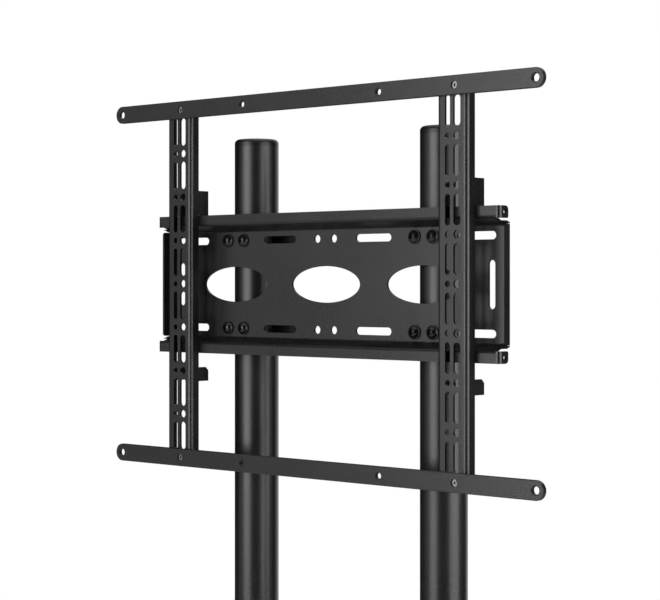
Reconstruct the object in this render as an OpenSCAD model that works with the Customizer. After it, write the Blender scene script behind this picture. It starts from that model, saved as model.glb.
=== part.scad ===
/* [Screen bars] */
// Length of a screen bar over its round ends
bar_length = 620; // [616:1:660]
// Height of a bar's flat face
bar_height = 20; // [16:1:26]
// Thickness of a bar
bar_thickness = 5; // [4:0.5:6]
// Bevel along the edges of a bar
bar_edge = 0.6; // [0.3:0.1:1]
// Distance between the centre lines of the two bars
bar_pitch = 400; // [400:50:500]
// Distance between the outer holes of a bar
outer_hole_pitch = 600; // [560:5:600]
// Diameter of the outer holes of a bar
outer_hole_d = 8.2; // [6:0.1:10]
// Distance between the inner holes of a bar
inner_hole_pitch = 200; // [180:5:240]
// Diameter of the inner holes of a bar
inner_hole_d = 6.6; // [5:0.1:9]
// Bevel at the mouths of these holes
hole_bevel = 1; // [0.5:0.1:1.2]

/* [Hanging arms] */
// Distance between the screw columns of the two arms
arm_pitch = 400; // [380:5:420]
// Width of an arm's face
arm_width = 38.9; // [36:0.1:44]
// Depth of an arm's channel
arm_depth = 12.8; // [10:0.1:14]
// Screw column to the near edge of the arm
column_margin = 13.2; // [12:0.1:17]
// Distance between the wide and the narrow slot column
column_gap = 12; // [11:0.5:13]
// Width of the wide slots and their holes
wide_slot = 8.8; // [6:0.2:9]
// Width of the narrow slots and their holes
narrow_slot = 6.4; // [4:0.2:7]
// Length of an arm slot over its round ends
arm_slot_length = 32; // [26:1:34]
// Distance between neighbouring slots of a column
slot_pitch = 50; // [50:1:52]
// Depth of the ears, measured from the arm's face
ear_depth = 28.2; // [26:0.1:29]
// Height of the hook ears above the lip they hang on
hook_rise = 28.6; // [20:0.1:34]
// How far the hook fingers reach down behind the lip
hook_catch = 7.3; // [5:0.1:8]
// Free lift before the lower ears meet the lower lip
lift_room = 16.5; // [12:0.1:22]
// Height of the lower ears
lower_ear_height = 16; // [12:0.1:20]
// Cut-off corner of the lower ears
ear_chamfer = 4; // [2:0.5:6]
// Middle of the hung screen frame above the middle of the plate
hang_rise = 0.7; // [0:0.1:3]

/* [Mount plate] */
// Sheet thickness of the mount plate and the arms
sheet = 2.5; // [2:0.1:3]
// Inside radius of every bend
bend_r = 2; // [1:0.1:2.5]
// Width over the end flanges of the plate
plate_width = 500; // [496:1:520]
// Height over the two lips
plate_height = 158.4; // [150:0.1:160]
// Height of the flat web between the sloped flanges
web_height = 118; // [112:0.2:118]
// How far the lips stand in front of the web
lip_offset = 17.9; // [16:0.1:18.5]
// Upright share of the sloped flanges that carry the lips
flange_rise_share = 0.352; // [0.28, 0.352]
// Width over the end tabs of a lip
lip_width = 500; // [490:1:500]
// Depth of the end tabs behind the lip's face
tab_depth = 14.6; // [13:0.1:17]
// Height of the end tabs
tab_height = 12.5; // [11:0.1:13]
// Diameter of the hole in each end tab
tab_hole_d = 4.5; // [3:0.1:5]
// Hole of an end tab to the tab's rear edge
tab_hole_inset = 5.7; // [5:0.1:6]
// Height of the slit that frees an end tab
relief_slit = 2.3; // [1.5:0.1:2.5]
// Height of the end flanges
end_flange_height = 122; // [116:1:122]
// Depth of the end flanges
end_flange_depth = 12.8; // [10:0.1:16]
// Length of each oval window
window_length = 100; // [80:0.5:104]
// Height of each oval window
window_height = 40; // [30:1:50]
// Height between the two rows of holes
row_pitch = 100; // [94:1:100]
// Length of the plate's level slots
level_slot_length = 50; // [40:1:52]
// Width of the plate's slots
plate_slot = 8.4; // [8:0.1:10]
// Length of the upright end slots
end_slot_length = 50; // [40:1:60]
// Distance between the two upright end slots
end_slot_pitch = 454; // [446:1:458]
// Distance between the two bolts of a pair
bolt_pair = 24.4; // [20:0.1:25]
// Diameter of the plate's bolt holes
bolt_hole_d = 9; // [9:0.1:10]

/* [Poles] */
// Outside diameter of a pole
pole_d = 50.8; // [46:0.1:52]
// Wall of a pole
pole_wall = 2.5; // [1.5:0.5:4]
// Length of a pole
pole_length = 1500; // [1200:10:1800]
// Distance between the pole axes
pole_pitch = 276.4; // [266:0.1:284]
// Pole top to the middle of the mount
mount_drop = 159; // [155:1:800]
// Visible height of a pole cap
cap_height = 8.4; // [6:0.1:14]
// Rounded edge of a pole cap
cap_edge_r = 5; // [3:0.5:5.5]
// Depth of the cap's skirt inside the pole
cap_skirt = 22; // [14:1:30]

/* [Pole collars] */
// Wall of a collar's ring
collar_wall = 5.2; // [4:0.1:5.4]
// Height of a collar
collar_height = 40; // [36:1:44]
// Pole axis to the back of the mount plate, less the pole's radius
collar_seat = 6.1; // [5.8:0.1:8]
// Width of a collar's flat seat
collar_seat_width = 46; // [42:1:50]
// Pole surface to the end of the clamping ears
clamp_ear_reach = 41.4; // [38:0.1:48]
// Thickness of a clamping ear
clamp_ear = 5; // [4:0.5:6]
// Slit between the clamping ears
clamp_slit = 2; // [1:0.5:3]
// Distance between the two clamp screws of a collar
clamp_screw_pitch = 24; // [22:1:26]

/* [Floor base] */
// Width of the base plate
base_width = 820; // [700:10:900]
// Depth of the base plate
base_depth = 580; // [480:10:700]
// Thickness of the base plate
base_thickness = 10; // [8:1:15]
// Corner radius of the base plate
base_corner_r = 60; // [30:5:90]
// Bevel round the top of the base plate
base_edge = 3; // [1:0.5:4]
// Middle of the base to the pole axes
pole_setback = 60; // [20:5:120]

/* [Pole sockets] */
// Diameter of a socket's flange
socket_flange_d = 124; // [116:1:140]
// Thickness of a socket's flange
socket_flange = 10; // [8:1:14]
// Height of a socket
socket_height = 70; // [56:1:90]
// Wall of a socket's neck
socket_wall = 7; // [6:0.5:9]
// Fillet between the neck and the flange
socket_fillet = 6; // [3:0.5:7]
// Diameter of the circle of socket bolts
socket_bolt_circle = 98; // [96:1:100]

/* [Levelling feet] */
// Diameter of a foot pad
foot_d = 50; // [40:1:60]
// Height of a foot pad
foot_height = 14; // [12:0.5:20]
// Edge of the base to a foot's axis
foot_inset = 62; // [50:1:80]
// How far a foot screws out
foot_travel = 10; // [6:1:14]
// Height of the threaded bush above a foot
bush_height = 9; // [8:0.5:12]

/* [Fasteners] */
// Nominal diameter of the bolts through the plate
plate_bolt_d = 8; // [8:8]
// Nominal diameter of the clamp screws
clamp_screw_d = 6; // [6:6]
// Nominal diameter of the screws through the bars
bar_screw_d = 5; // [5:5]
// Nominal diameter of the socket bolts and set screws
socket_bolt_d = 8; // [8:8]
// Nominal diameter of the levelling studs
stud_d = 10; // [10:10]

/* [Hidden] */
$fn = 64;

// Clearances
slide_gap = 0.3;
seat_gap = 0.3;
fit_gap = 0.1;
over = 1;

// Standard fasteners, as shares of their thread diameter
button_head_share = 1.75;
button_height_share = 0.55;
cap_head_share = 1.6;
hex_key_share = 0.62;
key_depth_share = 0.33;
sunk_head_share = 1.48;
nut_flats_share = 1.65;
nut_height_share = 0.85;
flange_nut_share = 2.3;
washer_share = 2;
washer_bore_share = 1.05;
clearance_share = 1.1;
washer_thickness = 1.6;

// Sunk heads of the bar screws, as shares of the bar's thickness
head_sink_share = 0.36;
head_height_share = 0.32;

// Heights, from the floor up
base_bottom = foot_height + seat_gap + bush_height;
base_top = base_bottom + base_thickness;
pole_top = base_top + pole_length;
mount_z = pole_top - mount_drop;
frame_z = mount_z + hang_rise;
lip_top = plate_height / 2;

// Depths, from the pole axes forward
pole_y = pole_setback;
plate_back = pole_y - pole_d / 2 - collar_seat;
plate_front = plate_back - sheet;
lip_front = plate_front - lip_offset;
arm_back = lip_front - seat_gap;
arm_front = arm_back - arm_depth;
bar_front = arm_front - bar_thickness;
ear_back = arm_front + ear_depth;
head_sink = bar_thickness * head_sink_share;
head_height = bar_thickness * head_height_share;

// Bends and the sloped flange, measured along the middle of the sheet
bend_out = bend_r + sheet;
bend_mid = bend_r + sheet / 2;
flange_slope = acos(flange_rise_share);
flange_run = (lip_offset - 2 * bend_mid * (1 - cos(flange_slope))) / sin(flange_slope);
flange_rise = 2 * bend_mid * sin(flange_slope) + flange_run * cos(flange_slope);
lip_foot = web_height / 2 + flange_rise;
lip_run = lip_top - lip_foot;
lip_flat = lip_width / 2 - bend_out;
tab_foot = lip_top - tab_height;
tongue_top = tab_foot - relief_slit;
tongue_foot = end_flange_height / 2 + 2 * slide_gap;

// Widths
pole_x = pole_pitch / 2;
frame_x = arm_width / 2 - column_margin;
inner_slot_x = pole_x / 2;
outer_slot_x = pole_x + inner_slot_x;
arm_length = bar_pitch + bar_height;
slot_count = floor(bar_pitch / slot_pitch);
foot_x = base_width / 2 - foot_inset;
foot_y = base_depth / 2 - foot_inset;

// Collar ring, clamp and pole socket
collar_bore_r = pole_d / 2 + slide_gap;
collar_r = collar_bore_r + collar_wall;
clamp_end = pole_d / 2 + clamp_ear_reach;
clamp_half = clamp_slit / 2 + clamp_ear;
clamp_screw_x = (collar_r + clamp_end) / 2;
clamp_corner_r = clamp_ear;
socket_bore_r = pole_d / 2 + fit_gap;
socket_neck_r = socket_bore_r + socket_wall;
socket_lead = socket_wall / 4;
set_screw_heights_share = [0.42, 0.78];

// Lengths of the fasteners
plate_bolt_bite = collar_seat - fit_gap;
clamp_nut = clamp_screw_d * nut_height_share;
bar_nut = bar_screw_d * nut_height_share;
stud_length = bush_height + base_thickness + foot_height / 2;

// Extrudes an outline of back and up along the width, centred
module across(length) {
    rotate([90, 0, 90]) linear_extrude(length, center = true) children();
}

// Extrudes an outline of width and up, from the front face backward
module backward(front, depth) {
    translate([0, front + depth, 0]) rotate([90, 0, 0]) linear_extrude(depth) children();
}

// A round bar along the depth, from the front face backward
module rod_back(front, depth, d) {
    translate([0, front, 0]) rotate([-90, 0, 0]) cylinder(h = depth, d = d);
}

// Part of a ring between two angles, up to a quarter turn apart
module ring_part(r_in, r_out, from, to) {
    far = 2 * r_out;
    mid = (from + to) / 2;
    intersection() {
        difference() {
            circle(r_out);
            circle(r_in);
        }
        polygon([
            [0, 0],
            [far * cos(from), far * sin(from)],
            [far * cos(mid), far * sin(mid)],
            [far * cos(to), far * sin(to)]
        ]);
    }
}

// Outline of a bent sheet: each step is a straight length and the turn after it.
// It starts upward, with its thickness to the right. Turns to the left are positive.
module bent_sheet(steps, i = 0) {
    run = steps[i][0];
    turn = steps[i][1];
    hub = turn > 0 ? -bend_r : bend_out;
    square([sheet, run]);
    if (turn != 0) {
        translate([hub, run]) {
            if (turn > 0) ring_part(bend_r, bend_out, 0, turn);
            else ring_part(bend_r, bend_out, 180 + turn, 180);
            rotate(turn) translate([-hub, 0]) bent_sheet(steps, i + 1);
        }
    }
}

// A slot along the first axis, with round ends
module slot_outline(length, d) {
    square([length - d, d], center = true);
    for (end = [-1, 1]) translate([end * (length - d) / 2, 0]) circle(d = d);
}

// An ellipse, by its formula
module ellipse_outline(length, height, steps = 72) {
    polygon([
        for (k = [0 : steps - 1])
            [length / 2 * cos(360 * k / steps), height / 2 * sin(360 * k / steps)]
    ]);
}

// A rectangle with round corners, between two corner points
module round_rect(low, high, r) {
    translate([low[0] + r, low[1]]) square([high[0] - low[0] - 2 * r, high[1] - low[1]]);
    translate([low[0], low[1] + r]) square([high[0] - low[0], high[1] - low[1] - 2 * r]);
    for (x = [low[0] + r, high[0] - r], y = [low[1] + r, high[1] - r]) translate([x, y]) circle(r);
}

// Copies to the left and to the right of the middle plane
module both_sides() {
    children();
    mirror([1, 0, 0]) children();
}

// Copies above and below the middle of the mount
module above_and_below() {
    translate([0, 0, mount_z]) {
        children();
        mirror([0, 0, 1]) children();
    }
}

// A screw bar: flat, with round ends and bevelled edges, holes at each screen pattern
module screen_bar() {
    half = bar_height / 2;
    end_x = bar_length / 2 - half;
    difference() {
        union() {
            across(2 * end_x) polygon([
                [bar_front, half - bar_edge],
                [bar_front + bar_edge, half],
                [arm_front - bar_edge, half],
                [arm_front, half - bar_edge],
                [arm_front, bar_edge - half],
                [arm_front - bar_edge, -half],
                [bar_front + bar_edge, -half],
                [bar_front, bar_edge - half]
            ]);
            for (side = [-1, 1]) translate([side * end_x, bar_front, 0]) rotate([-90, 0, 0]) {
                cylinder(h = bar_edge, r1 = half - bar_edge, r2 = half);
                translate([0, 0, bar_edge]) cylinder(h = bar_thickness - 2 * bar_edge, r = half);
                translate([0, 0, bar_thickness - bar_edge])
                    cylinder(h = bar_edge, r1 = half, r2 = half - bar_edge);
            }
        }
        both_sides() {
            translate([outer_hole_pitch / 2, 0, 0]) bar_hole(outer_hole_d);
            translate([inner_hole_pitch / 2, 0, 0]) bar_hole(inner_hole_d);
            translate([arm_pitch / 2, 0, 0]) screw_seat();
        }
    }
}

// A hole through a bar, with a bevelled mouth on each face
module bar_hole(d) {
    mouth_d = d + 2 * hole_bevel;
    rod_back(bar_front - over, bar_thickness + 2 * over, d);
    translate([0, bar_front, 0]) rotate([-90, 0, 0]) {
        cylinder(h = hole_bevel, d1 = mouth_d, d2 = d);
        translate([0, 0, bar_thickness - hole_bevel]) cylinder(h = hole_bevel, d1 = d, d2 = mouth_d);
    }
}

// The bore of a screw through a bar, and the wider seat its head sinks into
module screw_seat() {
    rod_back(bar_front - over, bar_thickness + 2 * over, bar_screw_d * clearance_share);
    rod_back(bar_front - over, over + head_sink + head_height,
        bar_screw_d * sunk_head_share + 2 * slide_gap);
}

module top_bar() {
    color("#2b2b2d") translate([frame_x, 0, frame_z + bar_pitch / 2]) screen_bar();
}

module bottom_bar() {
    color("#2b2b2d") translate([frame_x, 0, frame_z - bar_pitch / 2]) screen_bar();
}

// Places copies at the four crossings of bars and arms
module at_crossings() {
    for (x = [-1, 1], z = [-1, 1])
        translate([frame_x + x * arm_pitch / 2, 0, frame_z + z * bar_pitch / 2]) children();
}

module bar_screws() {
    top = bar_front + head_sink;
    length = arm_front + sheet + bar_nut + bar_edge - top;
    key = bar_screw_d * hex_key_share;
    color("#8d8f92") at_crossings() difference() {
        union() {
            rod_back(top, length, bar_screw_d);
            rod_back(top, head_height, bar_screw_d * sunk_head_share);
        }
        hex_hole(top, key, bar_screw_d * key_depth_share);
    }
}

module bar_nuts() {
    color("#8d8f92") at_crossings() hex_nut(arm_front + sheet, bar_screw_d, flange_nut_share);
}

// A hexagon socket sunk from a face backward
module hex_hole(front, flats, depth) {
    translate([0, front - over, 0]) rotate([-90, 0, 0])
        cylinder(h = depth + over, d = flats / cos(30), $fn = 6);
}

// A hexagon nut on its washer flange, from a face backward
module hex_nut(front, thread_d, flange_share) {
    height = thread_d * nut_height_share;
    flange = height / 4;
    difference() {
        union() {
            rod_back(front, flange, thread_d * flange_share);
            translate([0, front + flange, 0]) rotate([-90, 0, 0])
                cylinder(h = height - flange, d = thread_d * nut_flats_share / cos(30), $fn = 6);
        }
        rod_back(front - over, height + 2 * over, thread_d + 2 * fit_gap);
    }
}

// An arm: a channel folded from one sheet, two columns of slots, hook and lower ears
module hanging_arm() {
    left = column_margin - arm_width;
    wall = arm_depth - bend_out;
    difference() {
        union() {
            translate([0, 0, frame_z - arm_length / 2]) linear_extrude(arm_length)
                translate([left + sheet, arm_back]) rotate(180)
                    bent_sheet([[wall, 90], [arm_width - 2 * bend_out, 90], [wall, 0]]);
            for (x = [left, column_margin - sheet])
                translate([x + sheet / 2, 0, frame_z]) across(sheet) ear_outlines();
        }
        translate([0, 0, frame_z]) {
            slot_column(0, wide_slot);
            slot_column(-column_gap, narrow_slot);
            for (z = [-1, 1]) translate([0, 0, z * bar_pitch / 2])
                rod_back(arm_front - over, sheet + 2 * over, bar_screw_d * clearance_share);
        }
    }
}

// Outlines of the hook ear over the upper lip and the plain ear under the lower lip
module ear_outlines() {
    root = arm_back - arm_depth / 2;
    lip = lip_top - hang_rise;
    seat = lip + seat_gap;
    hook_top = lip + hook_rise;
    finger = lip_front + sheet + slide_gap;
    finger_foot = lip - hook_catch;
    low_top = -lip_top - hang_rise - lift_room;
    low_foot = low_top - lower_ear_height;
    polygon([
        [root, hook_top],
        [ear_back, hook_top],
        [ear_back, finger_foot + ear_chamfer],
        [ear_back - ear_chamfer, finger_foot],
        [finger, finger_foot],
        [finger, seat],
        [root, seat]
    ]);
    polygon([
        [root, low_top],
        [ear_back - ear_chamfer, low_top],
        [ear_back, low_top - ear_chamfer],
        [ear_back, low_foot],
        [root, low_foot]
    ]);
}

// One column of an arm: upright slots with a round hole between each two
module slot_column(x, width) {
    first = -(slot_count - 1) / 2;
    backward(arm_front - over, sheet + 2 * over) translate([x, 0]) {
        for (k = [0 : slot_count - 1])
            translate([0, (first + k) * slot_pitch]) rotate(90) slot_outline(arm_slot_length, width);
        for (k = [1 : slot_count - 1])
            translate([0, (first + k - 0.5) * slot_pitch]) circle(d = width);
    }
}

module left_arm() {
    color("#262628") translate([frame_x - arm_pitch / 2, 0, 0]) hanging_arm();
}

module right_arm() {
    color("#262628") translate([frame_x + arm_pitch / 2, 0, 0]) hanging_arm();
}

// The mount plate: web, sloped flanges, lips, end tabs and end flanges of one sheet
module mount_plate() {
    color("#232325") difference() {
        union() {
            above_and_below() {
                plate_half();
                both_sides() end_tab();
            }
            translate([0, 0, mount_z]) both_sides() end_flange();
        }
        translate([0, 0, mount_z]) plate_holes();
        above_and_below() both_sides() corner_slit();
    }
}

// Upper half of the web with its sloped flange and lip, and the tongues beside the end flanges
module plate_half() {
    across(2 * lip_flat) plate_profile();
    intersection() {
        across(plate_width - sheet) plate_profile();
        translate([-plate_width / 2, lip_front, tongue_foot])
            cube([plate_width, lip_offset + sheet, tongue_top - tongue_foot]);
    }
}

// Bent outline of the plate's upper half
module plate_profile() {
    translate([plate_front, 0])
        bent_sheet([[web_height / 2, flange_slope], [flange_run, -flange_slope], [lip_run, 0]]);
}

// The tab that closes a lip's end, folded back, with a hole for a lock
module end_tab() {
    back = lip_front + tab_depth;
    start = lip_flat - slide_gap;
    intersection() {
        linear_extrude(lip_top) translate([start, lip_front + sheet]) rotate(-90)
            bent_sheet([[slide_gap, 90], [tab_depth - bend_out, 0]]);
        difference() {
            translate([lip_flat, 0, 0]) across(4 * bend_out) tab_outline(back);
            translate([lip_flat, back - tab_hole_inset, (tab_foot + lip_top) / 2]) rotate([0, 90, 0])
                cylinder(h = 4 * bend_out, d = tab_hole_d, center = true);
        }
    }
}

// Side outline of an end tab, with two round corners at its rear edge
module tab_outline(back) {
    foot_r = bend_r;
    top_r = bend_out;
    polygon([
        [lip_front, tab_foot],
        [back - foot_r, tab_foot],
        [back - foot_r, tab_foot + foot_r],
        [back, tab_foot + foot_r],
        [back, lip_top - top_r],
        [back - top_r, lip_top - top_r],
        [back - top_r, lip_top],
        [lip_front, lip_top]
    ]);
    translate([back - foot_r, tab_foot + foot_r]) circle(foot_r);
    translate([back - top_r, lip_top - top_r]) circle(top_r);
}

// The flange folded forward at the web's end
module end_flange() {
    half = end_flange_height / 2;
    start = lip_flat - slide_gap;
    run = plate_width / 2 - bend_out - start;
    corner_r = bend_mid;
    intersection() {
        translate([0, 0, -half]) linear_extrude(2 * half)
            translate([start, plate_back]) rotate(-90)
                bent_sheet([[run, -90], [end_flange_depth - bend_out, 0]]);
        translate([lip_flat, 0, 0]) across(4 * bend_out)
            round_rect([plate_back - end_flange_depth, -half], [plate_back, half], corner_r);
    }
}

// The slit between an end tab and the sloped flange under it
module corner_slit() {
    start = lip_flat - 1.5 * relief_slit;
    translate([start, lip_front - over, tongue_top])
        cube([plate_width / 2 + over - start, lip_offset + sheet + 2 * over, relief_slit]);
}

// Windows, slots and bolt holes of the plate
module plate_holes() {
    backward(plate_front - over, sheet + 2 * over) {
        for (x = [-pole_x, 0, pole_x]) translate([x, 0]) {
            ellipse_outline(window_length, window_height);
            for (side = [-1, 1], row = [-1, 1])
                translate([side * bolt_pair / 2, row * row_pitch / 2]) circle(d = bolt_hole_d);
        }
        for (side = [-1, 1]) {
            for (x = [inner_slot_x, outer_slot_x], row = [-1, 1])
                translate([side * x, row * row_pitch / 2]) slot_outline(level_slot_length, plate_slot);
            translate([side * end_slot_pitch / 2, 0]) rotate(90)
                slot_outline(end_slot_length, plate_slot);
        }
    }
}

// Places copies at the eight bolts that hold the plate to the collars
module at_plate_bolts() {
    for (x = [-1, 1], side = [-1, 1], row = [-1, 1])
        translate([x * pole_x + side * bolt_pair / 2, 0, mount_z + row * row_pitch / 2]) children();
}

module plate_washers() {
    color("#1b1b1c") at_plate_bolts() difference() {
        rod_back(plate_front - washer_thickness, washer_thickness, plate_bolt_d * washer_share);
        rod_back(plate_front - washer_thickness - over, washer_thickness + 2 * over,
            plate_bolt_d * washer_bore_share);
    }
}

module plate_bolts() {
    head_r = plate_bolt_d * button_head_share / 2;
    head_h = plate_bolt_d * button_height_share;
    seat = plate_front - washer_thickness;
    dome_r = (head_r * head_r + head_h * head_h) / (2 * head_h);
    color("#1b1b1c") at_plate_bolts() difference() {
        union() {
            rod_back(seat, washer_thickness + sheet + plate_bolt_bite, plate_bolt_d);
            translate([0, seat, 0]) rotate([90, 0, 0]) rotate_extrude() intersection() {
                translate([0, head_h - dome_r]) circle(dome_r);
                square([head_r, head_h]);
            }
        }
        hex_hole(seat - head_h, plate_bolt_d * hex_key_share, plate_bolt_d * key_depth_share);
    }
}

// A collar round a pole: split ring, flat seat for the plate, ears drawn together by screws
module pole_collar() {
    half = collar_height / 2;
    seat = pole_d / 2 + collar_seat;
    seat_half = collar_seat_width / 2;
    difference() {
        union() {
            translate([0, 0, -half]) linear_extrude(collar_height) {
                circle(collar_r);
                translate([-seat_half, -seat]) square([2 * seat_half, seat]);
            }
            backward(-clamp_half, 2 * clamp_half)
                round_rect([0, -half], [clamp_end, half], clamp_corner_r);
        }
        translate([0, 0, -half - over]) linear_extrude(collar_height + 2 * over) {
            circle(collar_bore_r);
            translate([0, -clamp_slit / 2]) square([clamp_end + over, clamp_slit]);
        }
        for (side = [-1, 1]) {
            translate([side * bolt_pair / 2, 0, 0])
                rod_back(-seat - over, seat + over, plate_bolt_d + 2 * fit_gap);
            translate([clamp_screw_x, 0, side * clamp_screw_pitch / 2])
                rod_back(-clamp_half - over, 2 * (clamp_half + over), clamp_screw_d * clearance_share);
        }
    }
}

// Places a copy at a collar, with its ears turned to the middle of the stand
module at_collar(side, row) {
    translate([side * pole_x, pole_y, mount_z + row * row_pitch / 2])
        mirror([side > 0 ? 1 : 0, 0, 0]) children();
}

module upper_left_collar() {
    color("#222224") at_collar(-1, 1) pole_collar();
}

module upper_right_collar() {
    color("#222224") at_collar(1, 1) pole_collar();
}

module lower_left_collar() {
    color("#222224") at_collar(-1, -1) pole_collar();
}

module lower_right_collar() {
    color("#222224") at_collar(1, -1) pole_collar();
}

// Places copies at the two clamp screws of each collar
module at_clamp_screws() {
    for (side = [-1, 1], row = [-1, 1], level = [-1, 1])
        at_collar(side, row) translate([clamp_screw_x, 0, level * clamp_screw_pitch / 2]) children();
}

module collar_clamp_screws() {
    head_d = clamp_screw_d * cap_head_share;
    reach = 2 * clamp_half + clamp_nut + bar_edge;
    color("#1b1b1c") at_clamp_screws() difference() {
        union() {
            rod_back(-clamp_half - clamp_screw_d, clamp_screw_d, head_d);
            rod_back(-clamp_half, reach, clamp_screw_d);
        }
        hex_hole(-clamp_half - clamp_screw_d, clamp_screw_d * hex_key_share, clamp_screw_d / 2);
    }
}

module collar_clamp_nuts() {
    color("#8d8f92") at_clamp_screws() hex_nut(clamp_half, clamp_screw_d, nut_flats_share);
}

// A pole: a plain tube that stands on the base plate
module pole(side) {
    translate([side * pole_x, pole_y, base_top]) difference() {
        cylinder(h = pole_length, d = pole_d);
        translate([0, 0, -over]) cylinder(h = pole_length + 2 * over, d = pole_d - 2 * pole_wall);
    }
}

module left_pole() {
    color("#2e2e30") pole(-1);
}

module right_pole() {
    color("#2e2e30") pole(1);
}

// A cap with a rounded edge, held in the tube by a hollow skirt
module pole_cap(side) {
    outer_r = pole_d / 2;
    skirt_r = outer_r - pole_wall - fit_gap;
    translate([side * pole_x, pole_y, pole_top]) rotate_extrude() {
        square([outer_r, cap_height - cap_edge_r]);
        square([outer_r - cap_edge_r, cap_height]);
        translate([outer_r - cap_edge_r, cap_height - cap_edge_r]) intersection() {
            circle(cap_edge_r);
            square(cap_edge_r);
        }
        translate([skirt_r - pole_wall, -cap_skirt]) square([pole_wall, cap_skirt]);
    }
}

module left_pole_cap() {
    color("#111112") pole_cap(-1);
}

module right_pole_cap() {
    color("#111112") pole_cap(1);
}

// A turned socket: bolted flange, filleted neck, lead-in at the mouth, set screws behind
module pole_socket(side) {
    fillet_x = socket_neck_r + socket_fillet;
    fillet_z = socket_flange + socket_fillet;
    translate([side * pole_x, pole_y, base_top]) difference() {
        rotate_extrude() difference() {
            union() {
                translate([socket_bore_r, 0])
                    square([socket_flange_d / 2 - socket_bore_r, socket_flange]);
                translate([socket_bore_r, 0]) square([socket_wall, socket_height]);
                difference() {
                    translate([socket_neck_r, socket_flange]) square(socket_fillet);
                    translate([fillet_x, fillet_z]) circle(socket_fillet);
                }
            }
            polygon([
                [socket_neck_r - socket_lead, socket_height],
                [socket_neck_r, socket_height - socket_lead],
                [socket_neck_r + over, socket_height],
                [socket_neck_r, socket_height + over]
            ]);
            translate([socket_flange_d / 2, socket_flange]) rotate(45)
                square(socket_lead * sqrt(2), center = true);
        }
        at_socket_bolts() translate([0, 0, -over])
            cylinder(h = socket_flange + 2 * over, d = socket_bolt_d * clearance_share);
        at_set_screws() rod_back(0, socket_neck_r + over, socket_bolt_d + 2 * fit_gap);
    }
}

// Places copies at the four bolts of a socket
module at_socket_bolts() {
    for (k = [0 : 3]) rotate(45 + 90 * k) translate([socket_bolt_circle / 2, 0, 0]) children();
}

// Places copies at the two set screws of a socket
module at_set_screws() {
    for (share = set_screw_heights_share) translate([0, 0, socket_height * share]) children();
}

module left_socket() {
    color("#242426") pole_socket(-1);
}

module right_socket() {
    color("#242426") pole_socket(1);
}

module socket_bolts() {
    head_h = socket_bolt_d;
    color("#1b1b1c") for (side = [-1, 1])
        translate([side * pole_x, pole_y, base_top + socket_flange]) at_socket_bolts() difference() {
            union() {
                cylinder(h = head_h, d = socket_bolt_d * cap_head_share);
                translate([0, 0, fit_gap - socket_flange - base_thickness])
                    cylinder(h = socket_flange + base_thickness, d = socket_bolt_d);
            }
            translate([0, 0, head_h / 2])
                cylinder(h = head_h, d = socket_bolt_d * hex_key_share / cos(30), $fn = 6);
        }
}

module socket_set_screws() {
    start = pole_d / 2 + fit_gap;
    length = socket_neck_r - start - fit_gap;
    key = socket_bolt_d / 2;
    color("#1b1b1c") for (side = [-1, 1])
        translate([side * pole_x, pole_y, base_top]) at_set_screws() difference() {
            rod_back(start, length, socket_bolt_d);
            translate([0, start + length / 2, 0]) rotate([-90, 0, 0])
                cylinder(h = length, d = key / cos(30), $fn = 6);
        }
}

// The floor plate: round corners, bevelled top edge, threaded holes for bolts and studs
module base_plate() {
    half_w = base_width / 2;
    half_d = base_depth / 2;
    wall = base_thickness - base_edge;
    color("#29292b") difference() {
        translate([0, 0, base_bottom]) {
            linear_extrude(wall) round_rect([-half_w, -half_d], [half_w, half_d], base_corner_r);
            linear_extrude(base_thickness)
                square([2 * (half_w - base_corner_r), 2 * (half_d - base_corner_r)], center = true);
            translate([0, 0, wall]) {
                bevel_run(half_w - base_corner_r, half_d);
                rotate(90) bevel_run(half_d - base_corner_r, half_w);
                for (x = [-1, 1], y = [-1, 1])
                    translate([x * (half_w - base_corner_r), y * (half_d - base_corner_r), 0])
                        cylinder(h = base_edge, r1 = base_corner_r, r2 = base_corner_r - base_edge);
            }
        }
        for (side = [-1, 1]) translate([side * pole_x, pole_y, base_bottom - over])
            at_socket_bolts() cylinder(h = base_thickness + 2 * over, d = socket_bolt_d + 2 * fit_gap);
        at_feet() translate([0, 0, base_bottom - over])
            cylinder(h = base_thickness + 2 * over, d = stud_d + 2 * slide_gap);
    }
}

// A bevelled layer between two opposite edges of the plate
module bevel_run(half_length, half_width) {
    across(2 * half_length) polygon([
        [-half_width, 0],
        [half_width, 0],
        [half_width - base_edge, base_edge],
        [base_edge - half_width, base_edge]
    ]);
}

// Places copies at the four feet
module at_feet() {
    for (x = [-1, 1], y = [-1, 1]) at_foot(x, y) children();
}

module at_foot(x, y) {
    translate([x * foot_x, y * foot_y, 0]) children();
}

module foot_bushes() {
    color("#77797c") at_feet() translate([0, 0, base_bottom - bush_height]) difference() {
        cylinder(h = bush_height, d = stud_d * nut_flats_share / cos(30), $fn = 6);
        translate([0, 0, -over]) cylinder(h = bush_height + 2 * over, d = stud_d + 2 * slide_gap);
    }
}

// The threaded stud of a foot, keyed at its top
module foot_stud(x, y) {
    foot = foot_height / 2;
    top = foot + stud_length;
    color("#8d8f92") at_foot(x, y) difference() {
        translate([0, 0, foot]) cylinder(h = stud_length, d = stud_d);
        translate([0, 0, top - stud_d / 2])
            cylinder(h = stud_d, d = stud_d * hex_key_share / cos(30), $fn = 6);
    }
}

// The round pad under a stud, wide at the floor
module foot_pad(x, y) {
    sole = foot_height / 4;
    hub_r = foot_d / 3;
    edge = sole / 3;
    color("#161617") at_foot(x, y) difference() {
        rotate_extrude() polygon([
            [0, 0],
            [foot_d / 2 - edge, 0],
            [foot_d / 2, edge],
            [foot_d / 2, sole],
            [hub_r, foot_height - edge],
            [hub_r - edge, foot_height],
            [0, foot_height]
        ]);
        translate([0, 0, foot_height / 2]) cylinder(h = foot_height, d = stud_d + 2 * fit_gap);
    }
}

module foot_stud_front_left() {
    foot_stud(-1, -1);
}

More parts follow.
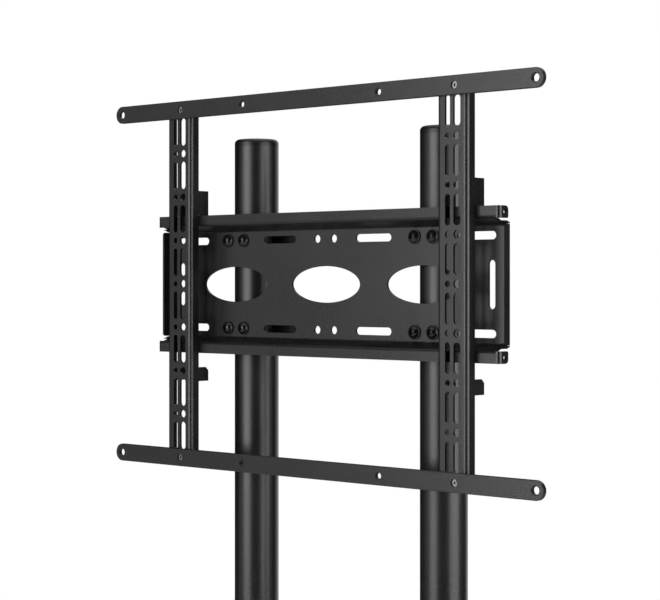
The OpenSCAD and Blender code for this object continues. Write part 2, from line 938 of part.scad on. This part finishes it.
module foot_stud_front_right() {
    foot_stud(1, -1);
}

module foot_stud_rear_left() {
    foot_stud(-1, 1);
}

module foot_stud_rear_right() {
    foot_stud(1, 1);
}

module foot_pad_front_left() {
    foot_pad(-1, -1);
}

module foot_pad_front_right() {
    foot_pad(1, -1);
}

module foot_pad_rear_left() {
    foot_pad(-1, 1);
}

module foot_pad_rear_right() {
    foot_pad(1, 1);
}

base_plate();
foot_bushes();
foot_stud_front_left();
foot_stud_front_right();
foot_stud_rear_left();
foot_stud_rear_right();
foot_pad_front_left();
foot_pad_front_right();
foot_pad_rear_left();
foot_pad_rear_right();
left_socket();
right_socket();
socket_bolts();
socket_set_screws();
left_pole();
right_pole();
left_pole_cap();
right_pole_cap();
upper_left_collar();
upper_right_collar();
lower_left_collar();
lower_right_collar();
collar_clamp_screws();
collar_clamp_nuts();
mount_plate();
plate_bolts();
plate_washers();
left_arm();
right_arm();
top_bar();
bottom_bar();
bar_screws();
bar_nuts();
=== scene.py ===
"""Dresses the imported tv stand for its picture: finishes, broken edges on the sheet parts, and a studio."""

import logging
import math
from dataclasses import dataclass, field
from enum import Enum

import bmesh
import bpy
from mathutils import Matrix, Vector


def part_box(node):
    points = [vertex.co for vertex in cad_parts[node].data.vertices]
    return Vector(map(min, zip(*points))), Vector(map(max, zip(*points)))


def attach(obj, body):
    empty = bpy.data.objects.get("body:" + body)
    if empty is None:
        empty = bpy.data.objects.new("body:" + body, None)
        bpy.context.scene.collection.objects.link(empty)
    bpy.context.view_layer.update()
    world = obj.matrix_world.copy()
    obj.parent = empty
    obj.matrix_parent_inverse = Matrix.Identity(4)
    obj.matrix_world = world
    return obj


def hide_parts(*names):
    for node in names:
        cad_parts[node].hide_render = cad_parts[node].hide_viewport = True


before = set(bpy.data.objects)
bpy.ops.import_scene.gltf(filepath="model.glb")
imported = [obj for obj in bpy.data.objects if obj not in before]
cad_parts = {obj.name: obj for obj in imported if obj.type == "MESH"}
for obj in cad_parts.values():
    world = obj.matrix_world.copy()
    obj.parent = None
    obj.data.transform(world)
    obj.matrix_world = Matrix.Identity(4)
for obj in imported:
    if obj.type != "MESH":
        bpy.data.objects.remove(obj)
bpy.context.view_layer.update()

logging.basicConfig(level=logging.INFO, format="%(name)s: %(message)s")
LOG = logging.getLogger("tv_stand")
MM = 0.001
Colour = tuple[float, float, float]


class Body(Enum):
    """The rigid bodies that pieces ride on."""

    STAND = "stand"
    CARRIAGE = "mount_carriage"
    SCREEN_FRAME = "screen_frame"
    FRONT_LEFT_FOOT = "front_left_foot"
    FRONT_RIGHT_FOOT = "front_right_foot"
    REAR_LEFT_FOOT = "rear_left_foot"
    REAR_RIGHT_FOOT = "rear_right_foot"


class Slot(Enum):
    """The record's material slots."""

    POWDER_COAT = "powder_coat"
    BLACK_SCREWS = "black_screws"
    ZINC = "zinc"
    CAP_PLASTIC = "cap_plastic"
    FOOT_PLASTIC = "foot_plastic"


class Corner(Enum):
    """The corners of the base, each with a levelling foot."""

    FRONT_LEFT = "front_left"
    FRONT_RIGHT = "front_right"
    REAR_LEFT = "rear_left"
    REAR_RIGHT = "rear_right"


class MixSocket(Enum):
    """Places of the colour sockets on a Mix node, whose names repeat for each kind of data."""

    FACTOR = 0
    FIRST = 6
    SECOND = 7
    RESULT = 2


class NodeMaker:
    """Adds shader nodes to one tree and joins them."""

    def __init__(self, tree: bpy.types.NodeTree) -> None:
        """Keeps the tree that the nodes go into.

        Args:
            tree: Node tree of a material, a world or a group.
        """
        self.tree = tree

    def add(self, kind: str, **values: object) -> bpy.types.Node:
        """Makes one node.

        Args:
            kind: Blender's name of the node type.
            **values: Attributes of the node, or inputs by name with underscores for spaces.

        Returns:
            The new node.
        """
        node = self.tree.nodes.new(kind)
        for name, value in values.items():
            if hasattr(node, name):
                setattr(node, name, value)
            else:
                node.inputs[name.replace("_", " ")].default_value = value
        return node

    def join(self, source: bpy.types.NodeSocket, target: bpy.types.NodeSocket) -> None:
        """Links an output to an input."""
        self.tree.links.new(source, target)

    def maths(self, operation: str, first: object, second: object) -> bpy.types.NodeSocket:
        """Adds a Math node.

        Args:
            operation: Blender's name of the operation.
            first: A socket or a number.
            second: A socket or a number.

        Returns:
            The result's socket.
        """
        node = self.tree.nodes.new("ShaderNodeMath")
        node.operation = operation
        for socket, value in zip(node.inputs, (first, second)):
            if isinstance(value, bpy.types.NodeSocket):
                self.join(value, socket)
            else:
                socket.default_value = value
        return node.outputs[0]


@dataclass(frozen=True)
class CoatGrain:
    """Fine texture of a sprayed, plated or moulded surface, as a shader node group built once."""

    name: str = "coat grain"
    inlets: tuple[str, ...] = ("Vector", "Frequency", "Roughness")
    outlets: tuple[str, ...] = ("Height", "Mottle", "Roughness")
    fine_detail: float = 3.0
    fine_roughness: float = 0.6
    broad_detail: float = 2.0
    broad_scale: float = 9.0
    broad_share: float = 0.16
    fine_share: float = 0.22

    def group(self) -> bpy.types.NodeTree:
        """Builds the group, or returns the one built before.

        Returns:
            Group with inputs Vector, Frequency and Roughness, and outputs Height, Mottle and Roughness.
        """
        known = bpy.data.node_groups.get(self.name)
        if known:
            return known
        tree = bpy.data.node_groups.new(self.name, "ShaderNodeTree")
        self._add_sockets(tree)
        maker = NodeMaker(tree)
        inlet = maker.add("NodeGroupInput")
        outlet = maker.add("NodeGroupOutput")
        fine = maker.add("ShaderNodeTexNoise", Detail=self.fine_detail, Roughness=self.fine_roughness)
        broad = maker.add("ShaderNodeTexNoise", Detail=self.broad_detail, Scale=self.broad_scale)
        maker.join(inlet.outputs["Vector"], fine.inputs["Vector"])
        maker.join(inlet.outputs["Frequency"], fine.inputs["Scale"])
        maker.join(inlet.outputs["Vector"], broad.inputs["Vector"])
        lift = maker.maths("MULTIPLY", broad.outputs["Fac"], self.broad_share)
        speck = maker.maths("MULTIPLY", fine.outputs["Fac"], self.fine_share)
        spread = maker.maths("ADD", lift, speck)
        middle = (self.broad_share + self.fine_share) / 2
        swing = maker.maths("SUBTRACT", spread, middle)
        rough = maker.maths("ADD", inlet.outputs["Roughness"], swing)
        maker.join(fine.outputs["Fac"], outlet.inputs["Height"])
        maker.join(spread, outlet.inputs["Mottle"])
        maker.join(rough, outlet.inputs["Roughness"])
        return tree

    def _add_sockets(self, tree: bpy.types.NodeTree) -> None:
        """Gives the group its inputs and outputs.

        Args:
            tree: The empty group.
        """
        for label in self.inlets:
            kind = "NodeSocketVector" if label == "Vector" else "NodeSocketFloat"
            tree.interface.new_socket(name=label, in_out="INPUT", socket_type=kind)
        for label in self.outlets:
            tree.interface.new_socket(name=label, in_out="OUTPUT", socket_type="NodeSocketFloat")


@dataclass(frozen=True)
class Finish:
    """A surface finish with a fine grain, the same all over apart from the grain's own changes."""

    name: str
    dark: Colour
    light: Colour
    roughness: float
    metallic: float = 0.0
    specular: float = 0.5
    grain_mm: float = 1.4
    bump: float = 0.25
    bump_mm: float = 0.05
    mottle_gain: float = 2.6

    def material(self) -> bpy.types.Material:
        """Builds the finish's material, or returns the one built before.

        Returns:
            The material.
        """
        known = bpy.data.materials.get(self.name)
        if known:
            return known
        material = bpy.data.materials.new(self.name)
        material.use_nodes = True
        material.node_tree.nodes.clear()
        maker = NodeMaker(material.node_tree)
        outlet = maker.add("ShaderNodeOutputMaterial")
        shader = maker.add("ShaderNodeBsdfPrincipled", Metallic=self.metallic,
                           Specular_IOR_Level=self.specular)
        place = maker.add("ShaderNodeTexCoord")
        grain = maker.add("ShaderNodeGroup", node_tree=CoatGrain().group())
        grain.inputs["Frequency"].default_value = 1.0 / (self.grain_mm * MM)
        grain.inputs["Roughness"].default_value = self.roughness
        blend = maker.add("ShaderNodeMix", data_type="RGBA")
        blend.inputs[MixSocket.FIRST.value].default_value = (*self.dark, 1.0)
        blend.inputs[MixSocket.SECOND.value].default_value = (*self.light, 1.0)
        relief = maker.add("ShaderNodeBump", Strength=self.bump, Distance=self.bump_mm * MM)
        mottle = maker.maths("MULTIPLY", grain.outputs["Mottle"], self.mottle_gain)
        maker.join(place.outputs["Object"], grain.inputs["Vector"])
        maker.join(mottle, blend.inputs[MixSocket.FACTOR.value])
        maker.join(blend.outputs[MixSocket.RESULT.value], shader.inputs["Base Color"])
        maker.join(grain.outputs["Roughness"], shader.inputs["Roughness"])
        maker.join(grain.outputs["Height"], relief.inputs["Height"])
        maker.join(relief.outputs["Normal"], shader.inputs["Normal"])
        maker.join(shader.outputs["BSDF"], outlet.inputs["Surface"])
        return material


POWDER_COAT = Finish("black powder coat", dark=(0.002, 0.002, 0.0025), light=(0.010, 0.010, 0.011),
                     roughness=0.32, grain_mm=1.5, bump=0.8, bump_mm=0.12)
BLACK_OXIDE = Finish("black oxide", dark=(0.003, 0.003, 0.003), light=(0.006, 0.006, 0.006),
                     roughness=0.2, grain_mm=0.6, bump=0.1)
ZINC = Finish("zinc plate", dark=(0.17, 0.17, 0.175), light=(0.30, 0.30, 0.31),
              roughness=0.42, metallic=1.0, grain_mm=0.8, bump=0.2)
CAP_GLOSS = Finish("glossy cap plastic", dark=(0.004, 0.004, 0.004), light=(0.007, 0.007, 0.007),
                   roughness=0.35, specular=0.35, grain_mm=3.0, bump=0.05)
FOOT_PLASTIC = Finish("matt foot plastic", dark=(0.014, 0.014, 0.015), light=(0.026, 0.026, 0.027),
                      roughness=0.55, grain_mm=1.0)
FINISHES = {
    Slot.POWDER_COAT: POWDER_COAT,
    Slot.BLACK_SCREWS: BLACK_OXIDE,
    Slot.ZINC: ZINC,
    Slot.CAP_PLASTIC: CAP_GLOSS,
    Slot.FOOT_PLASTIC: FOOT_PLASTIC,
}


@dataclass(frozen=True)
class EdgeBreaker:
    """Makes a copy of a sheet node with its sharp edges broken, as paint and deburring leave them."""

    width: float = 0.35 * MM
    segments: int = 2
    weld: float = 0.002 * MM
    flat: float = math.radians(0.5)
    sharp: float = math.radians(32.0)
    flat_face_weight: int = 100

    def replace(self, node: str, body: Body, slot: Slot) -> bpy.types.Object:
        """Puts a softened copy in the place of a node.

        Args:
            node: Name of the CAD node.
            body: Body that the node rides on.
            slot: Material slot of the node.

        Returns:
            The copy, which stands for the node.
        """
        mesh = self._merged_copy(node)
        mesh.materials.clear()
        mesh.materials.append(FINISHES[slot].material())
        piece = bpy.data.objects.new(f"{node}_soft_edged", mesh)
        bpy.context.scene.collection.objects.link(piece)
        self._add_modifiers(piece)
        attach(piece, body.value)
        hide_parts(node)
        LOG.info("%s stands for %s", piece.name, node)
        return piece

    def _merged_copy(self, node: str) -> bpy.types.Mesh:
        """Copies a node's mesh with its doubles merged, its flat faces whole and its bends smooth.

        Args:
            node: Name of the CAD node.

        Returns:
            The new mesh.
        """
        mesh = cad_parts[node].data.copy()
        shape = bmesh.new()
        shape.from_mesh(mesh)
        bmesh.ops.remove_doubles(shape, verts=shape.verts, dist=self.weld)
        bmesh.ops.dissolve_limit(shape, angle_limit=self.flat, verts=shape.verts, edges=shape.edges)
        for face in shape.faces:
            face.smooth = True
        shape.to_mesh(mesh)
        shape.free()
        mesh.set_sharp_from_angle(angle=self.sharp)
        return mesh

    def _add_modifiers(self, piece: bpy.types.Object) -> None:
        """Breaks the sharp edges, and keeps the shading of the flat faces flat.

        Args:
            piece: The copy.
        """
        bevel = piece.modifiers.new("broken edges", "BEVEL")
        bevel.width = self.width
        bevel.segments = self.segments
        bevel.limit_method = "ANGLE"
        bevel.angle_limit = self.sharp
        shading = piece.modifiers.new("flat faces stay flat", "WEIGHTED_NORMAL")
        shading.mode = "FACE_AREA"
        shading.weight = self.flat_face_weight
        shading.keep_sharp = True


class SubAssembly:
    """A group of CAD nodes that get their finishes together. Its sheet parts get broken edges too."""

    body: Body
    nodes: dict[str, Slot]
    sheet_parts: tuple[str, ...] = ()

    def dress(self) -> None:
        """Gives every node of the sub-assembly its finish, and its sheet parts broken edges."""
        for name, slot in self.nodes.items():
            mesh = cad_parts[name].data
            mesh.materials.clear()
            mesh.materials.append(FINISHES[slot].material())
            LOG.info("%s wears %s", name, FINISHES[slot].name)
        for name in self.sheet_parts:
            EdgeBreaker().replace(name, self.body, self.nodes[name])


@dataclass
class FloorBase(SubAssembly):
    """Base plate with its pole sockets and the bushes of the feet."""

    body: Body = Body.STAND
    nodes: dict[str, Slot] = field(default_factory=lambda: {
        "base_plate": Slot.POWDER_COAT,
        "foot_bushes": Slot.ZINC,
        "left_socket": Slot.POWDER_COAT,
        "right_socket": Slot.POWDER_COAT,
        "socket_bolts": Slot.BLACK_SCREWS,
        "socket_set_screws": Slot.BLACK_SCREWS,
    })


@dataclass
class Poles(SubAssembly):
    """The two poles with their caps."""

    body: Body = Body.STAND
    nodes: dict[str, Slot] = field(default_factory=lambda: {
        "left_pole": Slot.POWDER_COAT,
        "right_pole": Slot.POWDER_COAT,
        "left_pole_cap": Slot.CAP_PLASTIC,
        "right_pole_cap": Slot.CAP_PLASTIC,
    })


@dataclass
class LevellingFoot(SubAssembly):
    """One foot: a threaded stud in a round pad."""

    corner: Corner
    body: Body = field(init=False)
    nodes: dict[str, Slot] = field(init=False)

    def __post_init__(self) -> None:
        """Names the body and the nodes of this foot."""
        self.body = Body(f"{self.corner.value}_foot")
        self.nodes = {
            f"foot_stud_{self.corner.value}": Slot.ZINC,
            f"foot_pad_{self.corner.value}": Slot.FOOT_PLASTIC,
        }


@dataclass
class MountCarriage(SubAssembly):
    """The mount plate and the collars that hold it on the poles."""

    body: Body = Body.CARRIAGE
    nodes: dict[str, Slot] = field(default_factory=lambda: {
        "mount_plate": Slot.POWDER_COAT,
        "upper_left_collar": Slot.POWDER_COAT,
        "upper_right_collar": Slot.POWDER_COAT,
        "lower_left_collar": Slot.POWDER_COAT,
        "lower_right_collar": Slot.POWDER_COAT,
        "collar_clamp_screws": Slot.BLACK_SCREWS,
        "collar_clamp_nuts": Slot.ZINC,
        "plate_bolts": Slot.BLACK_SCREWS,
        "plate_washers": Slot.BLACK_SCREWS,
    })
    sheet_parts: tuple[str, ...] = ("mount_plate",)


@dataclass
class ScreenFrame(SubAssembly):
    """The two arms and the two bars that carry a screen."""

    body: Body = Body.SCREEN_FRAME
    nodes: dict[str, Slot] = field(default_factory=lambda: {
        "left_arm": Slot.POWDER_COAT,
        "right_arm": Slot.POWDER_COAT,
        "top_bar": Slot.POWDER_COAT,
        "bottom_bar": Slot.POWDER_COAT,
        "bar_screws": Slot.ZINC,
        "bar_nuts": Slot.ZINC,
    })
    sheet_parts: tuple[str, ...] = ("left_arm", "right_arm", "top_bar", "bottom_bar")


def toward(azimuth: float) -> Vector:
    """Gives a level direction of length 1.

    Args:
        azimuth: Degrees from the viewer's side, where plus is to the viewer's right.

    Returns:
        The direction.
    """
    turn = math.radians(azimuth)
    return Vector((math.sin(turn), -math.cos(turn), 0.0))


@dataclass
class SoftBox:
    """A rectangular studio lamp aimed at the stand."""

    name: str
    azimuth: float
    height: float
    distance: float
    width: float
    tall: float
    watts: float

    def build(self, target: Vector) -> None:
        """Places the lamp.

        Args:
            target: Point that it faces.
        """
        light = bpy.data.lights.new(self.name, "AREA")
        light.shape = "RECTANGLE"
        light.size = self.width
        light.size_y = self.tall
        light.energy = self.watts
        lamp = bpy.data.objects.new(self.name, light)
        bpy.context.scene.collection.objects.link(lamp)
        lamp.location = target + toward(self.azimuth) * self.distance
        lamp.location.z = self.height
        lamp.rotation_euler = (target - lamp.location).to_track_quat("-Z", "Y").to_euler()


@dataclass
class Studio:
    """Camera, lamps, dark cards, floor and background."""

    mount_z: float
    camera_x: float = 1.33725
    camera_y: float = -1.4517
    camera_lift: float = 0.00208
    azimuth: float = 42.0
    lens: float = 99.33
    sensor: float = 36.0
    shift_y: float = -0.0265
    view_depth: float = 100.0
    floor_radius: float = 3.0
    floor_corners: int = 96
    floor_grey: float = 0.82
    floor_roughness: float = 0.8
    floor_lift: float = 0.3
    ambient: float = 0.12
    card_from: float = -150.0
    card_span: float = 320.0
    card_radius: float = 3.6
    card_height: float = 5.0
    card_steps: int = 48
    card_grey: float = 0.01
    lamps: tuple[SoftBox, ...] = (
        SoftBox("front softbox", azimuth=-11.0, height=1.6, distance=2.6, width=1.8, tall=2.2, watts=60.0),
        SoftBox("fill softbox", azimuth=-48.0, height=1.6, distance=2.9, width=1.6, tall=2.2, watts=6.0),
        SoftBox("side softbox", azimuth=91.0, height=1.6, distance=2.6, width=2.2, tall=2.2, watts=70.0),
        SoftBox("top softbox", azimuth=180.0, height=4.2, distance=0.8, width=2.0, tall=2.0, watts=20.0),
    )

    def build(self) -> None:
        """Sets up the whole studio."""
        scene = bpy.context.scene
        scene.view_settings.view_transform = "Standard"
        self._camera(scene)
        for lamp in self.lamps:
            lamp.build(Vector((0.0, 0.0, self.mount_z)))
        self._world(scene)
        self._floor()
        self._cards()

    def _camera(self, scene: bpy.types.Scene) -> None:
        """Puts the camera where the photograph was taken from.

        Args:
            scene: Scene that it films.
        """
        data = bpy.data.cameras.new("camera")
        data.lens = self.lens
        data.sensor_width = self.sensor
        data.shift_y = self.shift_y
        data.clip_end = self.view_depth
        camera = bpy.data.objects.new("camera", data)
        scene.collection.objects.link(camera)
        camera.location = (self.camera_x, self.camera_y, self.mount_z + self.camera_lift)
        camera.rotation_euler = (math.pi / 2, 0.0, math.radians(self.azimuth))
        scene.camera = camera

    def _world(self, scene: bpy.types.Scene) -> None:
        """Shows white to the eye and in reflections, and gives a little light besides.

        Args:
            scene: Scene that it surrounds.
        """
        world = bpy.data.worlds.new("white background")
        scene.world = world
        world.use_nodes = True
        world.node_tree.nodes.clear()
        maker = NodeMaker(world.node_tree)
        path = maker.add("ShaderNodeLightPath")
        seen = maker.maths("MAXIMUM", path.outputs["Is Camera Ray"], path.outputs["Is Glossy Ray"])
        seen = maker.maths("MAXIMUM", seen, path.outputs["Is Transmission Ray"])
        strength = maker.maths("ADD", maker.maths("MULTIPLY", seen, 1.0 - self.ambient), self.ambient)
        back = maker.add("ShaderNodeBackground", Color=(1.0, 1.0, 1.0, 1.0))
        outlet = maker.add("ShaderNodeOutputWorld")
        maker.join(strength, back.inputs["Strength"])
        maker.join(back.outputs["Background"], outlet.inputs["Surface"])

    def _floor(self) -> None:
        """Lays a round pale floor under the stand, paler to the eye than the lamps make it."""
        shape = bmesh.new()
        bmesh.ops.create_circle(shape, cap_ends=True, segments=self.floor_corners,
                                radius=self.floor_radius)
        floor = self._stage_piece("floor", shape)
        material, shader = self._plain_material("pale floor", self.floor_grey)
        shader.inputs["Roughness"].default_value = self.floor_roughness
        shader.inputs["Emission Color"].default_value = (1.0, 1.0, 1.0, 1.0)
        maker = NodeMaker(material.node_tree)
        path = maker.add("ShaderNodeLightPath")
        lift = maker.maths("MULTIPLY", path.outputs["Is Camera Ray"], self.floor_lift)
        maker.join(lift, shader.inputs["Emission Strength"])
        floor.data.materials.append(material)

    def _cards(self) -> None:
        """Stands dark cards round the stand, open only behind it, so that steel reflects a dark room."""
        foot = toward(self.card_from) * self.card_radius
        shape = bmesh.new()
        rail = bmesh.ops.create_vert(shape, co=foot)["vert"]
        post = bmesh.ops.extrude_vert_indiv(shape, verts=rail)
        bmesh.ops.translate(shape, verts=post["verts"], vec=(0.0, 0.0, self.card_height))
        bmesh.ops.spin(shape, geom=rail + post["verts"] + post["edges"], cent=(0.0, 0.0, 0.0),
                       axis=(0.0, 0.0, 1.0), angle=math.radians(self.card_span),
                       steps=self.card_steps, use_merge=False)
        card = self._stage_piece("dark_cards", shape)
        material, shader = self._plain_material("dark card", self.card_grey)
        shader.inputs["Specular IOR Level"].default_value = 0.0
        card.data.materials.append(material)
        card.visible_camera = False

    @staticmethod
    def _plain_material(name: str, grey: float) -> tuple[bpy.types.Material, bpy.types.Node]:
        """Makes a grey material for a stage object.

        Args:
            name: Name of the material.
            grey: Its level, from 0 to 1.

        Returns:
            The material and its Principled node.
        """
        material = bpy.data.materials.new(name)
        material.use_nodes = True
        shader = material.node_tree.nodes["Principled BSDF"]
        shader.inputs["Base Color"].default_value = (grey, grey, grey, 1.0)
        return material, shader

    @staticmethod
    def _stage_piece(name: str, shape: bmesh.types.BMesh) -> bpy.types.Object:
        """Makes a stage object of a finished shape.

        Args:
            name: Name of the object.
            shape: Its mesh, freed here.

        Returns:
            The object.
        """
        mesh = bpy.data.meshes.new(name)
        shape.to_mesh(mesh)
        shape.free()
        piece = bpy.data.objects.new(name, mesh)
        bpy.context.scene.collection.objects.link(piece)
        return piece


def main() -> None:
    """Builds the sub-assemblies and the studio, with the studio's height taken from the mount plate's
    middle.
    """
    parts: list[SubAssembly] = [FloorBase(), Poles(), MountCarriage(), ScreenFrame()]
    parts += [LevellingFoot(corner) for corner in Corner]
    for part in parts:
        part.dress()
        LOG.info("%s is dressed", type(part).__name__)
    plate_low, plate_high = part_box("mount_plate")
    Studio(mount_z=(plate_low.z + plate_high.z) / 2).build()


if __name__ == "__main__":
    main()
